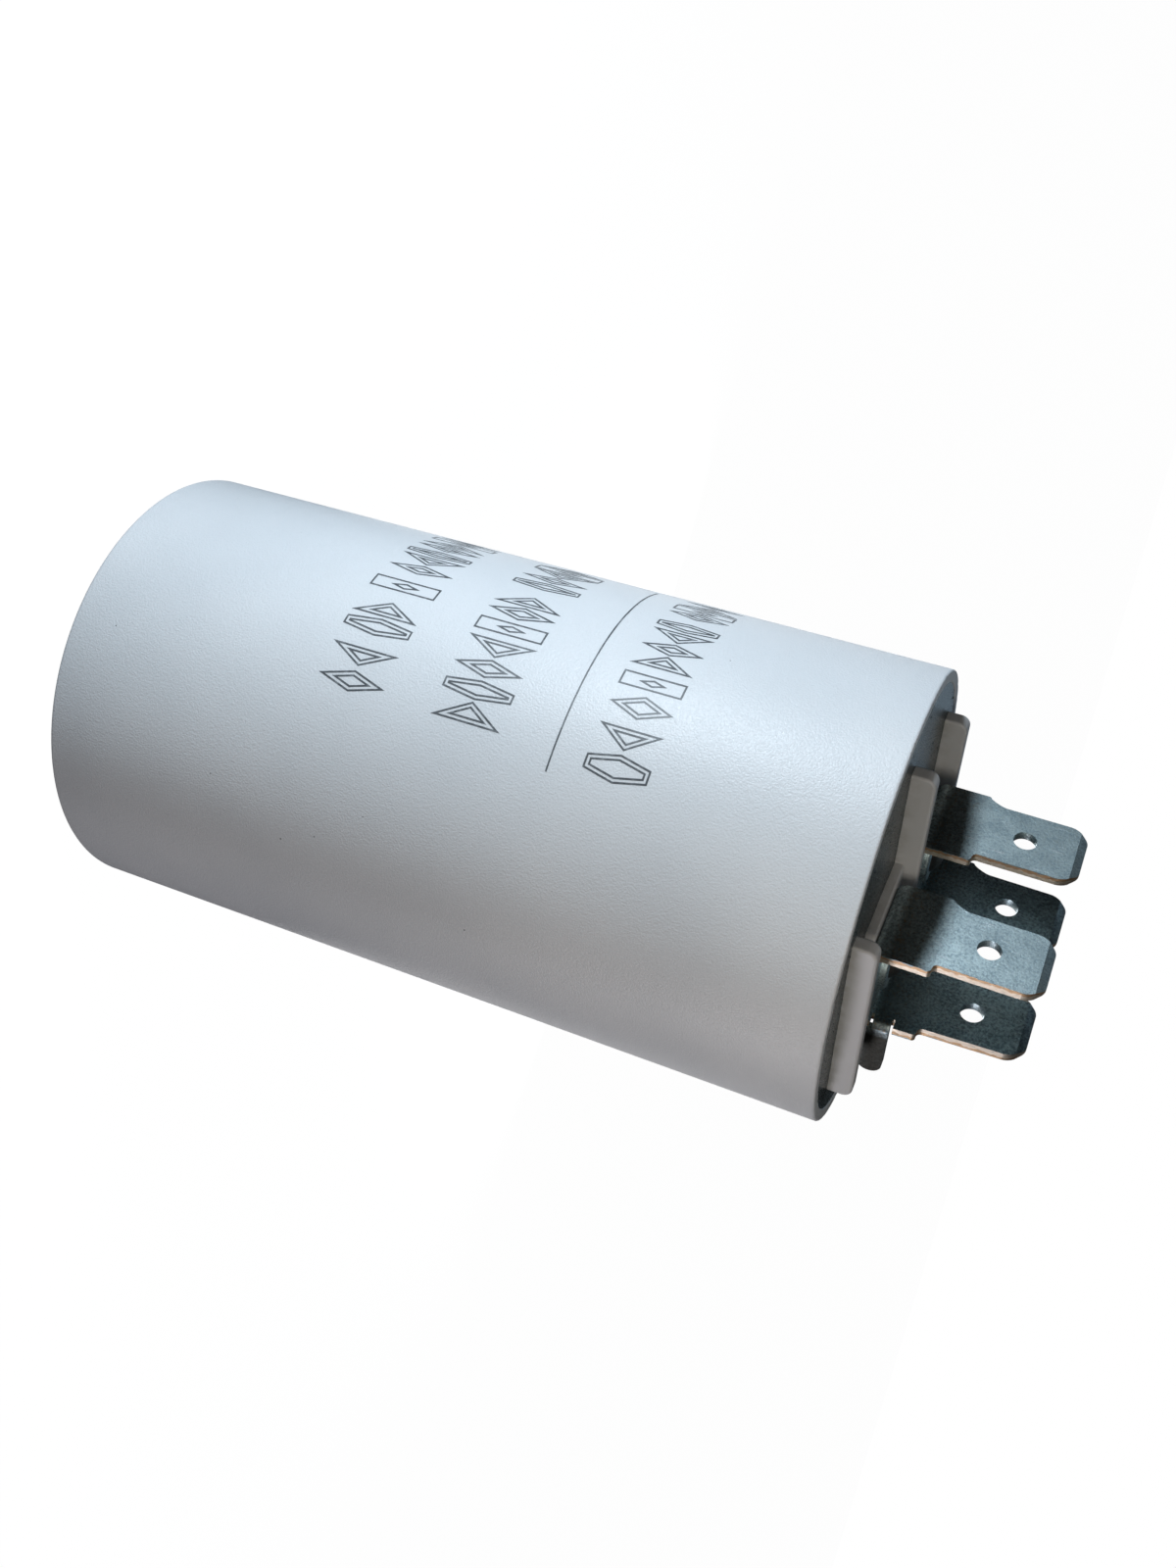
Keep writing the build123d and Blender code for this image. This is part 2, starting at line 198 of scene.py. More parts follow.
def add_piece(name, bm, materials, replaced=(), sharp=35.0, flat=()):
    """A finished piece: smooth but for its flat faces, sharp at its edges, and riding on the part."""
    bm.faces.index_update()
    plain = [face.index for face in flat]
    for face in bm.faces:
        face.smooth = True
    mesh = bpy.data.meshes.new(name)
    bm.to_mesh(mesh)
    bm.free()
    if "custom_normal" in mesh.attributes:
        mesh.attributes.remove(mesh.attributes["custom_normal"])
    mesh.set_sharp_from_angle(angle=math.radians(sharp))
    for index in plain:
        mesh.polygons[index].use_smooth = False
    for material in materials:
        mesh.materials.append(material)
    piece = bpy.data.objects.new(name, mesh)
    bpy.context.scene.collection.objects.link(piece)
    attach(piece, "root")
    if replaced:
        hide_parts(*replaced)


def paint_node(node, material):
    """Gives a CAD node its material."""
    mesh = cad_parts[node].data
    mesh.materials.clear()
    mesh.materials.append(material)


def everything(bm):
    """All vertices, edges and faces of a mesh."""
    return list(bm.verts) + list(bm.edges) + list(bm.faces)


def cut_level(bm, height):
    """A loop of edges round the mesh at one height."""
    bmesh.ops.bisect_plane(bm, geom=everything(bm), plane_co=(0, 0, height), plane_no=(0, 0, 1), dist=JOIN)


def round_ring(bm, radius, height, amount, segments):
    """Rounds the ring of edges at one radius and height."""
    edges = [
        e for e in bm.edges
        if all(abs(v.co.z - height) < JOIN and abs(v.co.xy.length - radius) < JOIN for v in e.verts)
    ]
    bmesh.ops.bevel(
        bm, geom=edges, offset=amount, offset_type="OFFSET", segments=segments, profile=0.5,
        affect="EDGES", material=-1,
    )


# Shared helpers for materials

NOISE_SPAN = (0.3, 0.7)     # nearly all values of a noise lie between these
CLOUD_SPAN = (0.35, 0.65)   # narrower, so that two tints part more clearly


class Paint:
    """A material's node tree with short calls for the nodes that the finishes use."""

    INPUTS = {
        "metallic": "Metallic", "ior": "IOR", "level": "Specular IOR Level", "soft": "Subsurface Weight",
        "soft_scale": "Subsurface Scale", "soft_radius": "Subsurface Radius",
    }

    def __init__(self, name):
        self.material = bpy.data.materials.new(name)
        self.material.use_nodes = True
        self.tree = self.material.node_tree
        self.shader = self.tree.nodes["Principled BSDF"]
        self.place = self.tree.nodes.new("ShaderNodeTexCoord").outputs["Object"]

    def set(self, **values):
        """Sets inputs of the shader by their short names."""
        for key, value in values.items():
            self.shader.inputs[self.INPUTS[key]].default_value = value

    def stretched(self, scale, turn=(0, 0, 0)):
        """Places for a texture, scaled and turned."""
        node = self.tree.nodes.new("ShaderNodeMapping")
        node.inputs["Scale"].default_value = scale
        node.inputs["Rotation"].default_value = turn
        self.tree.links.new(self.place, node.inputs["Vector"])
        return node.outputs["Vector"]

    def noise(self, width, detail=3.0, place=None, roughness=0.55):
        """Clouds whose lumps are about as wide as given, in metres."""
        node = self.tree.nodes.new("ShaderNodeTexNoise")
        node.inputs["Scale"].default_value = 1.0 / width
        node.inputs["Detail"].default_value = detail
        node.inputs["Roughness"].default_value = roughness
        self.tree.links.new(place or self.place, node.inputs["Vector"])
        return node.outputs["Fac"]

    def cells(self, width):
        """Distance to the nearest of scattered points."""
        node = self.tree.nodes.new("ShaderNodeTexVoronoi")
        node.inputs["Scale"].default_value = 1.0 / width
        self.tree.links.new(self.place, node.inputs["Vector"])
        return node.outputs["Distance"]

    def band(self, value, low, high, start=0.0, end=1.0):
        """Maps the range low to high onto start to end."""
        node = self.tree.nodes.new("ShaderNodeMapRange")
        node.clamp = True
        for key, number in (("From Min", low), ("From Max", high), ("To Min", start), ("To Max", end)):
            node.inputs[key].default_value = number
        self.tree.links.new(value, node.inputs["Value"])
        return node.outputs["Result"]

    def axis(self, name):
        """One coordinate of the place."""
        node = self.tree.nodes.new("ShaderNodeSeparateXYZ")
        self.tree.links.new(self.place, node.inputs["Vector"])
        return node.outputs[name]

    def sum(self, kind, first, second):
        """Adds or multiplies two values. The second may be a number."""
        node = self.tree.nodes.new("ShaderNodeMath")
        node.operation = kind
        self.tree.links.new(first, node.inputs[0])
        if isinstance(second, (int, float)):
            node.inputs[1].default_value = second
        else:
            self.tree.links.new(second, node.inputs[1])
        return node.outputs["Value"]

    def mix(self, amount, first, second):
        """Blends two colours. Each is a colour or the output of another blend."""
        node = self.tree.nodes.new("ShaderNodeMix")
        node.data_type = "RGBA"
        self.tree.links.new(amount, node.inputs["Factor"])
        for key, value in ((6, first), (7, second)):
            if isinstance(value, bpy.types.NodeSocket):
                self.tree.links.new(value, node.inputs[key])
            else:
                node.inputs[key].default_value = (*value, 1.0)
        return node.outputs[2]

    def clouds(self, value):
        """Maps the middle range of a noise onto 0 to 1."""
        return self.band(value, *CLOUD_SPAN)

    def base(self, colour_out):
        """Base colour from a blend."""
        self.tree.links.new(colour_out, self.shader.inputs["Base Color"])

    def rough(self, value, low, high, span=NOISE_SPAN):
        """Roughness that follows a value: low at the span's start and high at its end."""
        self.tree.links.new(self.band(value, *span, low, high), self.shader.inputs["Roughness"])

    def bump(self, height, depth, strength=1.0, under=None):
        """Relief of a depth in metres, on top of another relief where one is given."""
        node = self.tree.nodes.new("ShaderNodeBump")
        node.inputs["Strength"].default_value = strength
        node.inputs["Distance"].default_value = depth
        self.tree.links.new(height, node.inputs["Height"])
        if under is not None:
            self.tree.links.new(under, node.inputs["Normal"])
        return node.outputs["Normal"]

    def relief(self, normal):
        """Lays a relief on the surface."""
        self.tree.links.new(normal, self.shader.inputs["Normal"])


def can_plastic(settings):
    """White moulded plastic with a fine leather-like grain, a little dust and a few dark dots."""
    paint = Paint("can_plastic")
    paint.set(level=0.45, ior=1.49, soft=0.12, soft_scale=1.0 * MM, soft_radius=(0.9, 1.0, 1.0))
    white = paint.mix(paint.clouds(paint.noise(18 * MM, detail=2.0)), settings.tint, settings.tint_low)
    dust = paint.band(paint.cells(1.7 * MM), 0.035, 0.075, 1.0, 0.0)
    white = paint.mix(paint.sum("MULTIPLY", dust, 0.10), white, settings.dust)
    dots = paint.band(paint.cells(5 * MM), 0.012, 0.020, 0.75, 0.0)
    paint.base(paint.mix(dots, white, settings.dots))
    grain = paint.noise(settings.grain, detail=1.5, roughness=0.6)
    paint.rough(grain, 0.36, 0.50)
    slow = paint.bump(paint.noise(2.6 * MM, detail=1.0), depth=0.02 * MM, strength=0.25)
    paint.relief(paint.bump(grain, depth=0.045 * MM, under=slow))
    return paint.material


def grey_ink(settings):
    """Grey ink that lies unevenly on the grain."""
    paint = Paint("grey_ink")
    paint.set(level=0.4)
    worn = paint.band(paint.noise(0.5 * MM), 0.48, 0.72)
    paint.base(paint.mix(worn, settings.ink, settings.ink_worn))
    paint.rough(worn, 0.42, 0.58, span=(0, 1))
    paint.relief(paint.bump(paint.noise(0.2 * MM, detail=2.0), depth=0.01 * MM, strength=0.4))
    return paint.material


def grey_resin(settings):
    """Cast resin, semi-gloss, with slow clouds and fine dimples."""
    paint = Paint("grey_resin")
    paint.set(level=0.5, ior=1.52)
    paint.base(paint.mix(paint.clouds(paint.noise(4 * MM, detail=4.0)), settings.tint, settings.tint_low))
    fine = paint.noise(0.18 * MM, detail=2.0)
    paint.rough(fine, 0.18, 0.34)
    slow = paint.bump(paint.noise(1.6 * MM, detail=2.0), depth=0.06 * MM, strength=0.4)
    paint.relief(paint.bump(fine, depth=0.06 * MM, under=slow))
    return paint.material


def crumb_finish(settings):
    """Dark crumbs and burst bubbles."""
    paint = Paint("resin_crumbs")
    paint.set(level=0.5)
    paint.base(paint.mix(paint.noise(0.3 * MM, detail=2.0), settings.crumb, settings.tint_low))
    paint.rough(paint.noise(0.15 * MM, detail=2.0), 0.25, 0.5)
    return paint.material


def board_plastic(settings):
    """Natural white plastic, darker in cloudy patches towards the resin: painted shade at the board's foot.
    """
    paint = Paint("board_plastic")
    paint.set(level=0.5, ior=1.5, soft=0.25, soft_scale=0.9 * MM, soft_radius=(1.0, 0.9, 0.8))
    # Painted shade: darkest where the board meets the resin, gone 1.4 mm higher, broken into cloudy patches.
    low = paint.band(paint.axis("Z"), RESIN_HIGH.z, RESIN_HIGH.z + 1.4 * MM, 0.75, 0.0)
    stain_and_shade = paint.sum("MULTIPLY", low, paint.clouds(paint.noise(1.1 * MM, detail=4.0)))
    paint.base(paint.mix(stain_and_shade, settings.tint, settings.tint_low))
    fine = paint.noise(0.25 * MM, detail=2.0)
    paint.rough(fine, 0.34, 0.48)
    slow = paint.bump(paint.noise(1.5 * MM, detail=2.0), depth=0.04 * MM, strength=0.3)
    paint.relief(paint.bump(fine, depth=0.012 * MM, strength=0.3, under=slow))
    return paint.material


def tin_plate(settings, name="tin_plate", stained_and_shaded=True):
    """Matt tin plate: mottled grain, fine scratches, and painted shade at a terminal's root and on its lug.
    """
    paint = Paint(name)
    paint.set(metallic=1.0)
    mottle = paint.noise(0.24 * MM, roughness=0.7)
    large = paint.noise(2.2 * MM)
    tone = paint.sum("ADD", paint.sum("MULTIPLY", mottle, 0.75), paint.sum("MULTIPLY", large, 0.25))
    metal = paint.mix(paint.band(tone, 0.40, 0.60), settings.tin_low, settings.tin)
    scratches = []
    for lean, stretch, start, full in ((38, 0.045, 0.68, 0.74), (-27, 0.05, 0.69, 0.75)):
        place = paint.stretched((1.0, 1.0, stretch), (0.0, math.radians(lean), 0.0))
        scratches.append(paint.band(paint.noise(0.12 * MM, detail=2.0, place=place), start, full))
    scratch = paint.sum("MAXIMUM", *scratches)
    metal = paint.mix(paint.sum("MULTIPLY", scratch, 0.8), metal, settings.scratch)
    if stained_and_shaded:
        # Painted shade: the root darkens from the seat up, where shade falls, with brown spots in it.
        height = paint.axis("Z")
        above = paint.band(height, SEAT_TOP + 0.82 * MM, SEAT_TOP + 1.6 * MM, 0.3, 1.0)
        below = paint.band(height, LEG_FOOT, SEAT_TOP + 5.2 * MM, 0.75, 0.0)
        root = paint.sum("MULTIPLY", below, above)
        metal = paint.mix(root, metal, settings.lug_and_root_shade)
        spots = paint.band(paint.noise(0.28 * MM, detail=4.0, roughness=0.7), 0.54, 0.64)
        metal = paint.mix(paint.sum("MULTIPLY", root, spots), metal, settings.stain_and_shade)
        # Painted shade on the lug, which lies beyond the front leg's outer face.
        lug = paint.band(paint.axis("Y"), -LEG_OUT - 0.9 * MM, -LEG_OUT - 0.1 * MM, 0.95, 0.0)
        metal = paint.mix(lug, metal, settings.lug_and_root_shade)
    paint.base(metal)
    paint.rough(mottle, 0.58, 0.40)
    relief = paint.bump(paint.noise(1.8 * MM, detail=2.0), depth=0.03 * MM, strength=0.35)
    relief = paint.bump(mottle, depth=0.03 * MM, strength=0.7, under=relief)
    paint.relief(paint.bump(scratch, depth=0.006 * MM, strength=0.5, under=relief))
    return paint.material


def cut_brass(settings):
    """The sheared edge of the strip: bare brass with drawn streaks and smears of tin."""
    paint = Paint("cut_brass")
    paint.set(metallic=1.0)
    streaks = paint.noise(0.3 * MM, place=paint.stretched((1.0, 3.0, 0.6)))
    depth = paint.band(paint.sum("ABSOLUTE", paint.axis("Y"), 0.0), LEG_IN, LEG_OUT)
    depth = paint.sum("ADD", depth, paint.band(paint.noise(0.6 * MM), *NOISE_SPAN, -0.16, 0.16))
    metal = paint.mix(paint.band(depth, 0.46, 0.60), settings.brass, settings.brass_torn)
    metal = paint.mix(paint.band(depth, 0.86, 0.96), metal, settings.tin_low)
    metal = paint.mix(paint.band(streaks, 0.60, 0.72, 0.0, 0.7), metal, settings.tin_low)
    paint.base(metal)
    paint.rough(streaks, 0.42, 0.62)
    paint.relief(paint.bump(streaks, depth=0.03 * MM, strength=0.5))
    return paint.material


def rolled_film(settings):
    """Rolled film: fine rings round the axis."""
    paint = Paint("rolled_film")
    paint.set(metallic=0.35)
    rings = paint.noise(0.25 * MM, detail=2.0, place=paint.stretched((1.0, 1.0, 0.05)))
    paint.base(paint.mix(rings, [0.8 * part for part in settings.film], settings.film))
    paint.rough(rings, 0.25, 0.4)
    paint.relief(paint.bump(rings, depth=0.01 * MM, strength=0.4))
    return paint.material


def plain_finish(name, tint, width, depth, low, high, metallic=0.0):
    """A finish with clouds, fine relief and uneven gloss, for the solder and the pieces inside the can."""
    paint = Paint(name)
    paint.set(metallic=metallic)
    clouds = paint.noise(width, detail=4.0)
    paint.base(paint.mix(clouds, [0.78 * part for part in tint], tint))
    paint.rough(clouds, low, high)
    paint.relief(paint.bump(paint.noise(0.4 * width), depth, strength=0.6))
    return paint.material


# Pieces

RIM_LOOPS = (0.3, 0.45, 0.7, 1.2)   # how far below the rim the shell gets extra edge loops, in mm
FOOT_SEGMENTS = 5
RIM_SEGMENTS = 4
WEAR_REACH = 0.5 * MM   # how far down the rim's wear fades out
WEAR_RING = 9           # the wear is read from noise on a ring of this radius


class CAPACITOR_OT_add_can(bpy.types.Operator):
    """Spins the white can with its uneven rim"""
    bl_idname = "capacitor.add_can"
    bl_label = "Can"
    bl_options = {"REGISTER", "UNDO"}

    def execute(self, context):
        s = context.scene.cap_can
        radius = CAN_HIGH.x - s.print_room
        inner = CAN_HIGH.x - s.wall
        top = CAN_HIGH.z
        corners = ((0, 0), (radius, 0), (radius, top), (inner, top), (inner, s.floor), (0, s.floor))
        bm = bmesh.new()
        verts = [bm.verts.new((x, 0, z)) for x, z in corners]
        for first, second in zip(verts, verts[1:]):
            bm.edges.new((first, second))
        bmesh.ops.spin(
            bm, geom=everything(bm), cent=(0, 0, 0), axis=(0, 0, 1), angle=math.tau, steps=s.steps,
            use_merge=True,
        )
        bmesh.ops.remove_doubles(bm, verts=bm.verts, dist=JOIN)
        round_ring(bm, radius, 0.0, s.foot_radius, FOOT_SEGMENTS)
        round_ring(bm, radius, top, s.rim_radius, RIM_SEGMENTS)
        round_ring(bm, inner, top, s.rim_radius, RIM_SEGMENTS)
        round_ring(bm, inner, s.floor, s.inner_radius, RIM_SEGMENTS)
        for drop in RIM_LOOPS:
            cut_level(bm, top - drop * MM)
        bmesh.ops.remove_doubles(bm, verts=bm.verts, dist=JOIN)
        bmesh.ops.recalc_face_normals(bm, faces=bm.faces)
        self.wear_rim(bm, s, top)
        add_piece("can_shell", bm, [can_plastic(s)], ["can"])
        return {"FINISHED"}

    def wear_rim(self, bm, s, top):
        """Sinks the rim here and there, as a trimmed edge is, and never lifts it."""
        for vert in bm.verts:
            near = 1 - (top - vert.co.z) / WEAR_REACH
            if near <= 0:
                continue
            angle = math.atan2(vert.co.y, vert.co.x)
            x, y = WEAR_RING * math.cos(angle), WEAR_RING * math.sin(angle)
            slow = 0.5 + 0.5 * wobble(x * 0.4, y * 0.4, 1)
            quick = max(0.0, wobble(x * 2.3, y * 2.3, 2)) ** 1.5
            sink = s.rim_wear * (0.35 * slow + 0.9 * quick) * near
            vert.co.z -= sink
            pull = 1 - 0.35 * sink / vert.co.xy.length
            if vert.co.xy.length > CAN_HIGH.x - 0.5 * s.wall:
                vert.co.x *= pull
                vert.co.y *= pull


# Printed rows: height of the middle, row height, first angle in degrees, then kinds, widths and gaps in mm
PRINT_ROWS = (
    (51.2, 5.4, 126.3, (
        ("hexagon", 2.4, 0.30), ("down", 1.9, 0.90), ("diamond", 2.2, 0.60), ("box", 1.5, 0.90),
        ("up", 1.6, 0.10), ("diamond", 1.6, 0.15), ("down", 1.6, 0.20), ("hexagon", 1.6, 1.10),
        ("diamond", 1.5, 0.10), ("box", 1.3, 0.20), ("up", 1.4, 0.15), ("diamond", 1.4, 0.0))),
    (38.0, 6.2, 122.8, (
        ("up", 1.9, 0.15), ("hexagon", 1.8, 0.25), ("diamond", 1.8, 0.20), ("down", 1.8, 0.70),
        ("box", 1.5, 0.45), ("diamond", 1.7, 0.15), ("up", 1.6, 1.50), ("hexagon", 1.5, 0.20),
        ("diamond", 1.5, 0.10), ("down", 1.5, 0.15), ("box", 1.3, 0.20), ("up", 1.3, 0.0))),
    (27.3, 6.2, 123.6, (
        ("diamond", 1.9, 0.40), ("down", 1.7, 1.30), ("hexagon", 1.8, 0.20), ("up", 1.7, 1.40),
        ("box", 1.5, 1.20), ("diamond", 1.5, 0.20), ("down", 1.5, 0.25), ("hexagon", 1.4, 0.35),
        ("diamond", 1.4, 0.15), ("up", 1.4, 0.25), ("box", 1.2, 0.15), ("diamond", 1.3, 0.0))),
)
# The rule: height of its middle and width in mm, first and last angle in degrees
RULE_ROW = (45.8, 0.14, 57.0, 128.0)
# Plain forms: number of sides and turn in degrees
FORMS = {"hexagon": (6, 30.0), "diamond": (4, 0.0), "up": (3, 90.0), "down": (3, -90.0), "box": (4, 45.0)}
BOX_INSIDE = (0.50, 0.45)   # width and height of the diamond in a box, as shares of the box
BEND_STEP = 0.4 * MM        # distance between the cuts that let a flat figure bend
PRINT_INSET = 0.002 * MM    # how far the print's face lies below the can's packed side


class CAPACITOR_OT_add_print(bpy.types.Operator):
    """Prints rows of plain outlined figures and a rule on the can's side"""
    bl_idname = "capacitor.add_print"
    bl_label = "Printed marks"
    bl_options = {"REGISTER", "UNDO"}

    def execute(self, context):
        s = context.scene.cap_print
        ink = grey_ink(s)
        for count, (middle, height, first, marks) in enumerate(PRINT_ROWS, start=1):
            bm = bmesh.new()
            along = 0.0
            for kind, width, gap in marks:
                self.figure(bm, s, kind, -(along + width / 2) * MM, width * MM, height * MM)
                along += width + gap
            self.bend(bm, s, math.radians(first), middle * MM)
            add_piece("print_row_%d" % count, bm, [ink])
        middle, width, low, high = RULE_ROW
        bm = bmesh.new()
        length = math.radians(high - low) * CAN_HIGH.x
        self.plate(bm, "box", -length / 2, length, width * MM)
        self.bend(bm, s, math.radians(high), middle * MM)
        add_piece("print_rule", bm, [ink])
        return {"FINISHED"}

    def plate(self, bm, kind, centre, width, height):
        """A flat figure with straight sides, stretched to a width and height."""
        sides, turn = FORMS[kind]
        made = bmesh.ops.create_circle(bm, cap_ends=True, segments=sides, radius=0.5)["verts"]
        bmesh.ops.rotate(bm, verts=made, cent=(0, 0, 0), matrix=Matrix.Rotation(math.radians(turn), 3, "Z"))
        low = [min(v.co[i] for v in made) for i in (0, 1)]
        high = [max(v.co[i] for v in made) for i in (0, 1)]
        scale = (width / (high[0] - low[0]), height / (high[1] - low[1]), 1)
        shift = (-(low[0] + high[0]) / 2, -(low[1] + high[1]) / 2, 0)
        bmesh.ops.translate(bm, verts=made, vec=shift)
        bmesh.ops.scale(bm, verts=made, vec=scale)
        bmesh.ops.translate(bm, verts=made, vec=(centre, 0, 0))
        return made

    def outline(self, bm, s, made, rings):
        """Keeps thin lines of a figure, one inside the other."""
        face = made[0].link_faces[0]
        for count in range(rings):
            if count:
                gap = bmesh.ops.inset_region(
                    bm, faces=[face], thickness=s.line_gap, depth=0.0, use_even_offset=True,
                    use_boundary=True,
                )["faces"]
                bmesh.ops.delete(bm, geom=gap, context="FACES")
            bmesh.ops.inset_region(
                bm, faces=[face], thickness=s.stroke, depth=0.0, use_even_offset=True, use_boundary=True,
            )
        bmesh.ops.delete(bm, geom=[face], context="FACES")

    def figure(self, bm, s, kind, centre, width, height):
        """One plain figure in thin lines: a tall hexagon, diamond or triangle, or a box around a diamond."""
        rings = 1 if kind == "box" else 2
        self.outline(bm, s, self.plate(bm, kind, centre, width, height), rings)
        if kind == "box":
            wide, high = BOX_INSIDE
            self.outline(bm, s, self.plate(bm, "diamond", centre, wide * width, high * height), 1)

    def bend(self, bm, s, first, middle):
        """Gives the flat figures their film thickness and lays them round the can."""
        top = bmesh.ops.extrude_face_region(bm, geom=list(bm.faces))["geom"]
        bmesh.ops.translate(
            bm, verts=[g for g in top if isinstance(g, bmesh.types.BMVert)], vec=(0, 0, s.film),
        )
        low = min(v.co.x for v in bm.verts)
        high = max(v.co.x for v in bm.verts)
        for step in range(int((high - low) / BEND_STEP) + 1):
            place = (low + step * BEND_STEP, 0, 0)
            bmesh.ops.bisect_plane(bm, geom=everything(bm), plane_co=place, plane_no=(1, 0, 0), dist=JOIN)
        outer = CAN_HIGH.x - PRINT_INSET
        for vert in bm.verts:
            angle = first + vert.co.x / CAN_HIGH.x
            radius = outer - s.film + vert.co.z
            vert.co = (radius * math.cos(angle), radius * math.sin(angle), middle + vert.co.y)
        bmesh.ops.remove_doubles(bm, verts=bm.verts, dist=JOIN)
        bmesh.ops.recalc_face_normals(bm, faces=bm.faces)


# The board's fences and seat from above, in mm: middle in X, half the width in X and half the depth in Y
BOARD_WALLS = ((0.0, 0.7, BOARD_HIGH.y / MM), (13.8, 0.7, 9.4), (-13.8, 0.7, 9.4), (0.0, 9.3, 5.0))
WALL_CLIMB_WIDTH = 0.3 * MM     # how far from the can's wall the climb falls off
BOARD_CLIMB_WIDTH = 0.38 * MM   # the same at the board
RESIN_OVERLAP = 0.01 * MM   # how far the surface reaches past the cast block
RESIN_BASE = 0.003 * MM     # how far its underside lies over the block's top
RESIN_WELD = 0.02 * MM      # points of the grid nearer than this are joined at its edge
CRUMB_SEED = 11


class CAPACITOR_OT_add_resin(bpy.types.Operator):
    """Lays the poured surface on the cast resin, with its crumbs and bubbles"""
    bl_idname = "capacitor.add_resin"
    bl_label = "Resin surface"
    bl_options = {"REGISTER", "UNDO"}

    def execute(self, context):
        s = context.scene.cap_resin
        resin = grey_resin(s)
        paint_node("potting_resin", resin)
        reach = RESIN_HIGH.x + RESIN_OVERLAP
        count = int(2 * reach / s.spacing)
        bm = bmesh.new()
        bmesh.ops.create_grid(bm, x_segments=count, y_segments=count, size=reach + s.spacing)
        outside = [f for f in bm.faces if all(v.co.xy.length > reach for v in f.verts)]
        bmesh.ops.delete(bm, geom=outside, context="FACES")
        for vert in bm.verts:
            far = vert.co.xy.length
            if far > reach:
                vert.co.x *= reach / far
                vert.co.y *= reach / far
        bmesh.ops.remove_doubles(bm, verts=bm.verts, dist=RESIN_WELD)
        for vert in bm.verts:
            vert.co.z = self.height(s, vert.co.x, vert.co.y, reach)
        made = bmesh.ops.extrude_face_region(bm, geom=list(bm.faces))["geom"]
        for vert in (g for g in made if isinstance(g, bmesh.types.BMVert)):
            vert.co.z = RESIN_HIGH.z + RESIN_BASE
        bmesh.ops.recalc_face_normals(bm, faces=bm.faces)
        add_piece("resin_surface", bm, [resin])
        self.add_crumbs(s, reach)
        return {"FINISHED"}

    def height(self, s, x, y, reach):
        """The surface's height: slow and quick ripples, and a climb at the wall, the fences and the seat."""
        slow, quick, patchy = (
            wobble(x / (width * MM), y / (width * MM), seed) for width, seed in ((3.1, 3), (0.9, 4), (1.4, 5))
        )
        wave = 0.7 * (0.5 + 0.5 * slow) + 0.3 * (0.5 + 0.5 * quick)
        uneven = 0.9 + 0.2 * patchy
        edge = reach - math.hypot(x, y)
        climb = s.wall_climb * math.exp(-edge / WALL_CLIMB_WIDTH) * uneven
        gap = min(
            math.hypot(max(0.0, abs(x - middle * MM) - half * MM), max(0.0, abs(y) - deep * MM))
            for middle, half, deep in BOARD_WALLS
        )
        board = s.board_climb * math.exp(-gap / BOARD_CLIMB_WIDTH) * uneven
        return RESIN_HIGH.z + s.lift + s.ripple * wave + max(climb, board)

    def add_crumbs(self, s, reach):
        """Small flattened bubbles on the resin, more of them at the wall."""
        dice = random.Random(CRUMB_SEED)
        bm = bmesh.new()
        for count in range(s.specks):
            angle = dice.uniform(0, math.tau)
            if count % 3:
                far = reach * math.sqrt(dice.uniform(0.05, 0.99))
            else:
                far = reach - dice.uniform(0.05, 0.5) * MM
            x, y = far * math.cos(angle), far * math.sin(angle)
            wide = dice.uniform(0.05, 0.15) * MM
            z = self.height(s, x, y, reach)
            matrix = Matrix.Translation((x, y, z)) @ Euler((0, 0, angle)).to_matrix().to_4x4()
            matrix = matrix @ Matrix.Diagonal((wide, wide * dice.uniform(0.7, 1.0), 0.4 * wide, 1.0))
            bmesh.ops.create_icosphere(bm, subdivisions=1, radius=1.0, matrix=matrix)
        add_piece("resin_specks", bm, [crumb_finish(s)], sharp=60.0)


class CAPACITOR_OT_finish_board(bpy.types.Operator):
    """Gives the terminal board its white moulded finish"""
    bl_idname = "capacitor.finish_board"
    bl_label = "Terminal board"
    bl_options = {"REGISTER", "UNDO"}

    def execute(self, context):
        paint_node("terminal_board", board_plastic(context.scene.cap_board))
        return {"FINISHED"}


# How far each leg leans off upright, X and Y for each unit of height: back and front
LEANS = {
    "terminal_left": ((-0.008, -0.007), (0.024, 0.011)),
    "terminal_right": ((-0.006, -0.002), (-0.010, -0.012)),
}
LEAN_LOOPS = (1.6, 2.0, 2.4, 2.8, 3.2, 3.6)     # edge loops where a leg bends, as heights over the seat in mm
LEAN_START = SEAT_TOP + 2.4 * MM
LEAN_EASE = 0.8 * MM                            # half the height over which the lean sets in
SWEEP_LOOPS = (0.3, 0.45, 0.6, 0.75, 0.9, 1.0)  # edge loops along the shoulder's curve, as shares of it
HOLE_REACH = 1.2 * MM       # faces nearer than this to a hole's axis belong to its wall
SIDE_NORMAL = 0.99          # a face with more X than this in its normal is a side of the strip
EDGE_NORMAL = 0.3           # a leg's face with less Y than this in its normal is a cut edge
FLAT_NORMAL = 0.99999       # a face whose normal lies this near to an axis stays flat
TIP_REACH = 2.4 * MM        # a tip's corners lie no further than this from its end
SWEEP_DEPTH = 0.75          # share of the shoulder's step that the curve fills
SWEEP_WELD = 0.012 * MM     # points nearer than this are joined along the curve
FLAT_ANGLE = math.radians(0.6)      # packed faces that turn less than this are joined
SHARP_ANGLE = math.radians(38)      # edges that turn more than this are pressed edges and get rounded
CORNER_ANGLE = math.radians(20)     # edges through a tip's strip that turn more than this are its corners


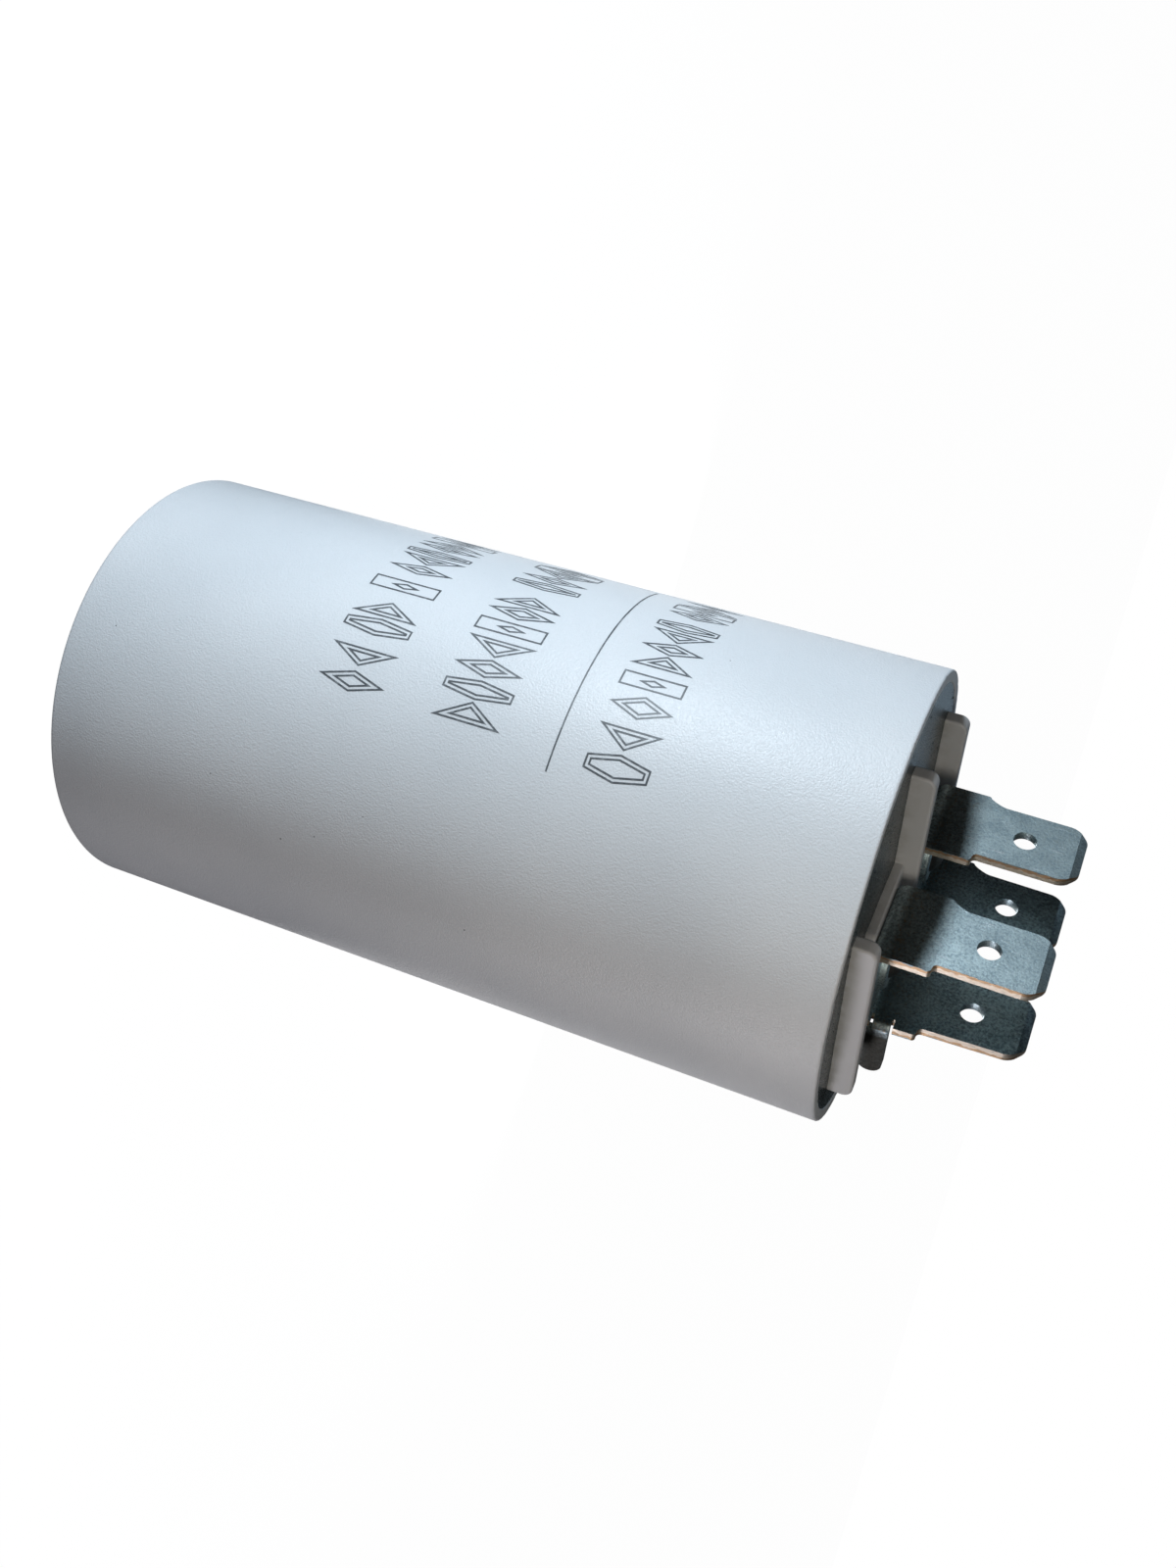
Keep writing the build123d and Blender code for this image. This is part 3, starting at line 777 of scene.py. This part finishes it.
class CAPACITOR_OT_add_terminals(bpy.types.Operator):
    """Dresses the two double terminals: soft pressed edges, bare cut sides, slightly bent legs"""
    bl_idname = "capacitor.add_terminals"
    bl_label = "Terminals"
    bl_options = {"REGISTER", "UNDO"}

    def execute(self, context):
        s = context.scene.cap_terminal
        tin, brass = tin_plate(s), cut_brass(s)
        for node, leans in LEANS.items():
            low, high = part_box(node)
            centre = 0.5 * (low.x + high.x)
            bm = bmesh.new()
            bm.from_mesh(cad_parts[node].data)
            bmesh.ops.remove_doubles(bm, verts=bm.verts, dist=WELD)
            bmesh.ops.dissolve_limit(
                bm, angle_limit=FLAT_ANGLE, verts=bm.verts, edges=bm.edges, delimit={"NORMAL"},
            )
            bmesh.ops.recalc_face_normals(bm, faces=bm.faces)
            for face in bm.faces:
                middle = face.calc_center_median()
                on_leg = middle.z > LEG_FOOT and LEG_IN < abs(middle.y) < LEG_OUT
                side = abs(face.normal.x) > SIDE_NORMAL and abs(middle.y) < LEG_OUT
                hole = math.hypot(middle.x - centre, middle.z - TIP + s.hole_down) < HOLE_REACH
                cut = side or (on_leg and abs(face.normal.y) < EDGE_NORMAL)
                face.material_index = 1 if cut and not hole else 0
            self.round_corners(bm, s)
            self.sweep_shoulder(bm, s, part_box(node))
            sharp = [e for e in bm.edges if len(e.link_faces) == 2 and e.calc_face_angle() > SHARP_ANGLE]
            bmesh.ops.bevel(
                bm, geom=sharp, offset=s.edge, offset_type="OFFSET", segments=2, profile=0.5,
                affect="EDGES", material=-1, clamp_overlap=True,
            )
            for height in LEAN_LOOPS:
                cut_level(bm, SEAT_TOP + height * MM)
            bmesh.ops.triangulate(bm, faces=[f for f in bm.faces if len(f.verts) > 4])
            bm.normal_update()
            flat = [f for f in bm.faces if max(abs(a) for a in f.normal) > FLAT_NORMAL]
            self.lean(bm, leans)
            add_piece(node + "_dressed", bm, [tin, brass], [node], sharp=60.0, flat=flat)
        return {"FINISHED"}

    def round_corners(self, bm, s):
        """Rounds the corners of each tab's tip."""
        for thick, amount in ((0.6, s.tip_corner), (0.2, s.top_corner)):
            edges = []
            for edge in bm.edges:
                first, second = (v.co for v in edge.verts)
                along = (first - second).xz.length < 0.01 * MM and abs(first.y - second.y) > thick * MM
                if along and first.z > TIP - TIP_REACH and edge.calc_face_angle(0.0) > CORNER_ANGLE:
                    edges.append(edge)
            bmesh.ops.bevel(
                bm, geom=edges, offset=amount, offset_type="OFFSET", segments=4, profile=0.5,
                affect="EDGES", material=-1, clamp_overlap=True,
            )

    def sweep_shoulder(self, bm, s, box):
        """Draws the shoulder on the outer edge out into a long curve, as the press leaves it."""
        middle = 0.5 * (box[0].x + box[1].x)
        step = 0.5 * (box[1].x - box[0].x) - s.tab_half
        shoulder = TIP - s.tab_long
        for part in SWEEP_LOOPS:
            cut_level(bm, shoulder + part * s.sweep)
        for vert in bm.verts:
            along = (vert.co.z - shoulder) / s.sweep
            if -0.001 < along < 1 and vert.co.x > middle + s.tab_half - 0.05 * MM:
                vert.co.x = max(vert.co.x, middle + s.tab_half + SWEEP_DEPTH * step * (1 - along) ** 2)
        bmesh.ops.remove_doubles(bm, verts=bm.verts, dist=SWEEP_WELD)

    def lean(self, bm, leans):
        """Tips each leg a little, as handled tabs are."""
        for vert in bm.verts:
            rise = vert.co.z - LEAN_START
            rise = rise if rise > LEAN_EASE else (max(0.0, rise + LEAN_EASE) ** 2) / (4 * LEAN_EASE)
            if rise > 0:
                along, across = leans[0] if vert.co.y > 0 else leans[1]
                vert.co.x += along * rise
                vert.co.y += across * rise


class CAPACITOR_OT_finish_rivets(bpy.types.Operator):
    """Gives the rivets and the solder their finishes"""
    bl_idname = "capacitor.finish_rivets"
    bl_label = "Rivets and solder"
    bl_options = {"REGISTER", "UNDO"}

    def execute(self, context):
        rivet = tin_plate(context.scene.cap_terminal, "rivet_plate", stained_and_shaded=False)
        solder = plain_finish("solder", context.scene.cap_inside.solder, 0.9 * MM, 0.03 * MM, 0.34, 0.52, 1.0)
        for side in ("left", "right"):
            paint_node("rivet_" + side, rivet)
            paint_node("solder_" + side, solder)
        for place in ("lower", "upper"):
            paint_node("solder_" + place, solder)
        return {"FINISHED"}


class CAPACITOR_OT_finish_inside(bpy.types.Operator):
    """Gives the pieces inside the can their finishes"""
    bl_idname = "capacitor.finish_inside"
    bl_label = "Inside"
    bl_options = {"REGISTER", "UNDO"}

    def execute(self, context):
        s = context.scene.cap_inside
        paint_node("film_winding", rolled_film(s))
        paint_node("winding_core", plain_finish("core_plastic", s.core, 3 * MM, 0.02 * MM, 0.35, 0.5))
        paint_node("winding_wrap", plain_finish("wrap_film", s.wrap, 6 * MM, 0.03 * MM, 0.18, 0.3))
        zinc = plain_finish("sprayed_zinc", s.zinc, 0.5 * MM, 0.12 * MM, 0.55, 0.75, 1.0)
        wire = plain_finish("tinned_wire", s.wire, 0.8 * MM, 0.01 * MM, 0.22, 0.36, 1.0)
        sleeve = plain_finish("sleeve_plastic", s.sleeve, 2 * MM, 0.01 * MM, 0.3, 0.45)
        for place in ("lower", "upper"):
            paint_node("end_metal_" + place, zinc)
        for length in ("long", "short"):
            paint_node("lead_" + length, wire)
            paint_node("sleeve_" + length, sleeve)
        return {"FINISHED"}


# Stage

# Lamps: name, the setting with its watts, azimuth in degrees with distance and height, width and height of
# its face, the height on the can's axis that it is aimed at, all in metres, and its colour
LAMPS = (
    ("key_lamp", "key_power", (82, 0.15, 0.024), (0.040, 0.015), 0.040, (0.785, 0.893, 0.985)),
    ("end_lamp", "end_power", (154, 0.11, 0.115), (0.06, 0.05), 0.060, (1.0, 0.925, 0.82)),
    ("side_lamp", "side_power", (215, 0.26, 0.042), (0.10, 0.04), 0.040, (0.955, 0.93, 1.0)),
    ("back_lamp", "back_power", (314, 0.16, 0.017), (0.10, 0.024), 0.040, (0.94, 0.97, 1.0)),
)
LENS = 34.372
SENSOR = 36.0
CLIP = (0.005, 100.0)
CAMERA_PLACE = (-0.087094, 0.097071, 0.083803)
CAMERA_TURN = (-43.196, -65.938, -1.579)    # degrees
CARD_RADIUS = 0.5   # the cards stand on a ring of this radius, in metres,
CARD_UPRIGHT = 0.5  # go straight up to this height
CARD_TOP = 0.8      # and meet above the part at this one
CARD_STEPS = 60
FLOOR_DROP = 0.02 * MM      # the floor lies this far under the part
CARD_DROP = 0.01 * MM       # the cards start this far under it
SHADE_FOOT = 1.2 * MM       # a shade starts this far over the seat
SHADE_HEAD = 0.1 * MM       # and ends this far over the tips


def node_with(tree, kind, **inputs):
    """A new node with some of its inputs set."""
    node = tree.nodes.new(kind)
    for key, value in inputs.items():
        node.inputs[key].default_value = value
    return node


def empty_tree(owner):
    """Gives a material or a world an empty node tree."""
    owner.use_nodes = True
    owner.node_tree.nodes.clear()
    return owner.node_tree


def seen_plainly(tree):
    """One for rays from the camera, in a reflection or through glass, and zero for the others."""
    path = tree.nodes.new("ShaderNodeLightPath")
    total = path.outputs["Is Camera Ray"]
    for name in ("Is Glossy Ray", "Is Transmission Ray"):
        node = tree.nodes.new("ShaderNodeMath")
        node.operation = "ADD"
        node.use_clamp = True
        tree.links.new(total, node.inputs[0])
        tree.links.new(path.outputs[name], node.inputs[1])
        total = node.outputs["Value"]
    return total


def blend_into(tree, amount, first, second, kind):
    """Blends two shaders into a new output node."""
    blend = tree.nodes.new("ShaderNodeMixShader")
    tree.links.new(amount, blend.inputs["Fac"])
    tree.links.new(first, blend.inputs[1])
    tree.links.new(second, blend.inputs[2])
    tree.links.new(blend.outputs["Shader"], tree.nodes.new(kind).inputs["Surface"])


def card_material(name, tint, strength):
    """A card that glows evenly, or hardly at all."""
    material = bpy.data.materials.new(name)
    tree = empty_tree(material)
    glow = node_with(tree, "ShaderNodeEmission", Color=(*tint, 1), Strength=strength)
    out = tree.nodes.new("ShaderNodeOutputMaterial")
    tree.links.new(glow.outputs["Emission"], out.inputs["Surface"])
    return material


def stage_object(context, name, bm, materials, unseen=()):
    """An object for the stage, which some kinds of rays don't see."""
    mesh = bpy.data.meshes.new(name)
    bm.to_mesh(mesh)
    bm.free()
    for material in materials:
        mesh.materials.append(material)
    made = bpy.data.objects.new(name, mesh)
    context.scene.collection.objects.link(made)
    for rays in unseen:
        setattr(made, "visible_" + rays, False)
    return made


class CAPACITOR_OT_add_stage(bpy.types.Operator):
    """Sets up the white floor, the cards, the lamps and the camera"""
    bl_idname = "capacitor.add_stage"
    bl_label = "Stage"
    bl_options = {"REGISTER", "UNDO"}

    def execute(self, context):
        s = context.scene.cap_stage
        context.scene.view_settings.view_transform = "Standard"
        self.add_floor(context, s)
        self.add_world(context, s)
        self.add_flags(context, s)
        self.add_shades(context, s)
        for name, watts, place, shape, aim, tint in LAMPS:
            self.add_lamp(context, name, getattr(s, watts), place, shape, aim, tint)
        self.add_camera(context)
        return {"FINISHED"}

    def add_floor(self, context, s):
        """A floor that looks white, takes the part's shadow and gives little light back to it."""
        bm = bmesh.new()
        bmesh.ops.create_grid(bm, x_segments=2, y_segments=2, size=s.floor_half)
        bmesh.ops.translate(bm, verts=bm.verts, vec=(0, 0, -FLOOR_DROP))
        material = bpy.data.materials.new("white_floor")
        tree = empty_tree(material)
        shade = tree.nodes.new("ShaderNodeMix")
        shade.data_type = "RGBA"
        shade.inputs[6].default_value = (*s.floor_tint, 1)
        shade.inputs[7].default_value = (*s.floor_bounce, 1)
        path = tree.nodes.new("ShaderNodeLightPath")
        tree.links.new(path.outputs["Is Diffuse Ray"], shade.inputs["Factor"])
        dull = tree.nodes.new("ShaderNodeBsdfDiffuse")
        tree.links.new(shade.outputs[2], dull.inputs["Color"])
        white = node_with(tree, "ShaderNodeEmission", Strength=s.floor_glow)
        amount = tree.nodes.new("ShaderNodeMath")
        amount.operation = "MULTIPLY"
        amount.inputs[1].default_value = s.floor_white
        tree.links.new(seen_plainly(tree), amount.inputs[0])
        blend_into(
            tree, amount.outputs["Value"], dull.outputs["BSDF"], white.outputs["Emission"],
            "ShaderNodeOutputMaterial",
        )
        floor = stage_object(context, "floor", bm, [material])

    def add_world(self, context, s):
        """Plain white to look at, and a weak cool light from all round."""
        world = bpy.data.worlds.new("studio")
        tree = empty_tree(world)
        soft = node_with(tree, "ShaderNodeBackground", Color=(*s.ambient_tint, 1), Strength=s.ambient)
        white = node_with(tree, "ShaderNodeBackground", Color=(1, 1, 1, 1), Strength=1.0)
        blend_into(
            tree, seen_plainly(tree), soft.outputs["Background"], white.outputs["Background"],
            "ShaderNodeOutputWorld",
        )
        context.scene.world = world

    def add_flags(self, context, s):
        """Dark cards, and a bluish one behind over a low gap. Only reflections see them."""
        bm = bmesh.new()
        foot = -CARD_DROP
        profile = ((0.0, foot), (CARD_RADIUS, foot), (CARD_RADIUS, s.flag_gap), (CARD_RADIUS, CARD_UPRIGHT),
                   (0.0, CARD_TOP))
        over_gap = profile[2:]
        sectors = (
            (profile, s.flag_start, s.flag_end, 0), (over_gap, s.flag_end, s.card_start, 0),
            (over_gap, s.card_start, 360.0 + s.flag_start, 1),
        )
        for points, first, last, slot in sectors:
            start = math.radians(first)
            corners = [bm.verts.new((r * math.cos(start), r * math.sin(start), z)) for r, z in points]
            edges = [bm.edges.new(pair) for pair in zip(corners, corners[1:])]
            before = len(bm.faces)
            bmesh.ops.spin(
                bm, geom=corners + edges, cent=(0, 0, 0), axis=(0, 0, 1), angle=math.radians(last - first),
                steps=CARD_STEPS, use_merge=False,
            )
            bm.faces.ensure_lookup_table()
            for face in bm.faces[before:]:
                face.material_index = slot
        bmesh.ops.remove_doubles(bm, verts=bm.verts, dist=WELD)
        cards = [
            card_material("flag_cloth", s.flag_tint, s.flag_grey),
            card_material("sky_card", s.card_tint, s.card_blue),
        ]
        unseen = ("camera", "diffuse", "transmission", "shadow")
        flags = stage_object(context, "dark_flags", bm, cards, unseen)

    def add_shades(self, context, s):
        """Small cards that only cast a shadow: they keep the lamps off the inner faces of the front legs."""
        bm = bmesh.new()
        foot, head = SEAT_TOP + SHADE_FOOT, TIP + SHADE_HEAD
        for node in LEANS:
            low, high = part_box(node)
            half_wide, half_high = 0.5 * (high.x - low.x) + s.shade_gap, 0.5 * (head - foot)
            place = Matrix.Translation((0.5 * (low.x + high.x), s.shade_gap - LEG_IN, 0.5 * (foot + head)))
            upright = Matrix.Rotation(math.radians(90), 4, "X")
            scale = Matrix.Diagonal((half_wide, half_high, 1.0, 1.0))
            bmesh.ops.create_grid(bm, x_segments=1, y_segments=1, size=1.0, matrix=place @ upright @ scale)
        cloth = bpy.data.materials["flag_cloth"]
        unseen = ("camera", "diffuse", "glossy", "transmission")
        shades = stage_object(context, "shades", bm, [cloth], unseen)

    def add_lamp(self, context, name, watts, place, shape, aim, tint):
        """A soft rectangular lamp that shines towards the can's axis."""
        light = bpy.data.lights.new(name, "AREA")
        light.shape = "RECTANGLE"
        light.size, light.size_y = shape
        light.energy = watts
        light.color = tint
        lamp = bpy.data.objects.new(name, light)
        azimuth, away, height = place
        turn = math.radians(azimuth)
        lamp.location = (away * math.cos(turn), away * math.sin(turn), height)
        lamp.rotation_euler = (Vector((0, 0, aim)) - lamp.location).to_track_quat("-Z", "Y").to_euler()
        lamp.visible_camera = False
        context.scene.collection.objects.link(lamp)

    def add_camera(self, context):
        """The camera that took the reference, as fitted to the part's outline."""
        data = bpy.data.cameras.new("camera")
        data.lens = LENS
        data.sensor_fit = "VERTICAL"
        data.sensor_width = data.sensor_height = SENSOR
        data.clip_start, data.clip_end = CLIP
        camera = bpy.data.objects.new("camera", data)
        camera.location = CAMERA_PLACE
        camera.rotation_euler = [math.radians(angle) for angle in CAMERA_TURN]
        context.scene.collection.objects.link(camera)
        context.scene.camera = camera


class CAPACITOR_PT_parts(bpy.types.Panel):
    """Lists the pieces of the capacitor and their settings"""
    bl_label = "Capacitor"
    bl_idname = "CAPACITOR_PT_parts"
    bl_space_type = "VIEW_3D"
    bl_region_type = "UI"
    bl_category = "Capacitor"

    def draw(self, context):
        for operator in OPERATORS:
            self.layout.operator(operator.bl_idname)
        for name, group in SETTINGS:
            box = self.layout.box()
            box.label(text=group.__name__.replace("Settings", ""))
            for key in group.__annotations__:
                box.prop(getattr(context.scene, name), key)


OPERATORS = (
    CAPACITOR_OT_add_can, CAPACITOR_OT_add_print, CAPACITOR_OT_add_resin, CAPACITOR_OT_finish_board,
    CAPACITOR_OT_add_terminals, CAPACITOR_OT_finish_rivets, CAPACITOR_OT_finish_inside,
    CAPACITOR_OT_add_stage,
)


def register():
    for name, group in SETTINGS:
        bpy.utils.register_class(group)
        setattr(bpy.types.Scene, name, PointerProperty(type=group))
    for operator in OPERATORS:
        bpy.utils.register_class(operator)
    bpy.utils.register_class(CAPACITOR_PT_parts)


def unregister():
    bpy.utils.unregister_class(CAPACITOR_PT_parts)
    for operator in reversed(OPERATORS):
        bpy.utils.unregister_class(operator)
    for name, group in reversed(SETTINGS):
        delattr(bpy.types.Scene, name)
        bpy.utils.unregister_class(group)


def main():
    register()
    bpy.ops.capacitor.add_can()
    bpy.ops.capacitor.add_print()
    bpy.ops.capacitor.add_resin()
    bpy.ops.capacitor.finish_board()
    bpy.ops.capacitor.add_terminals()
    bpy.ops.capacitor.finish_rivets()
    bpy.ops.capacitor.finish_inside()
    bpy.ops.capacitor.add_stage()


if __name__ == "__main__":
    main()
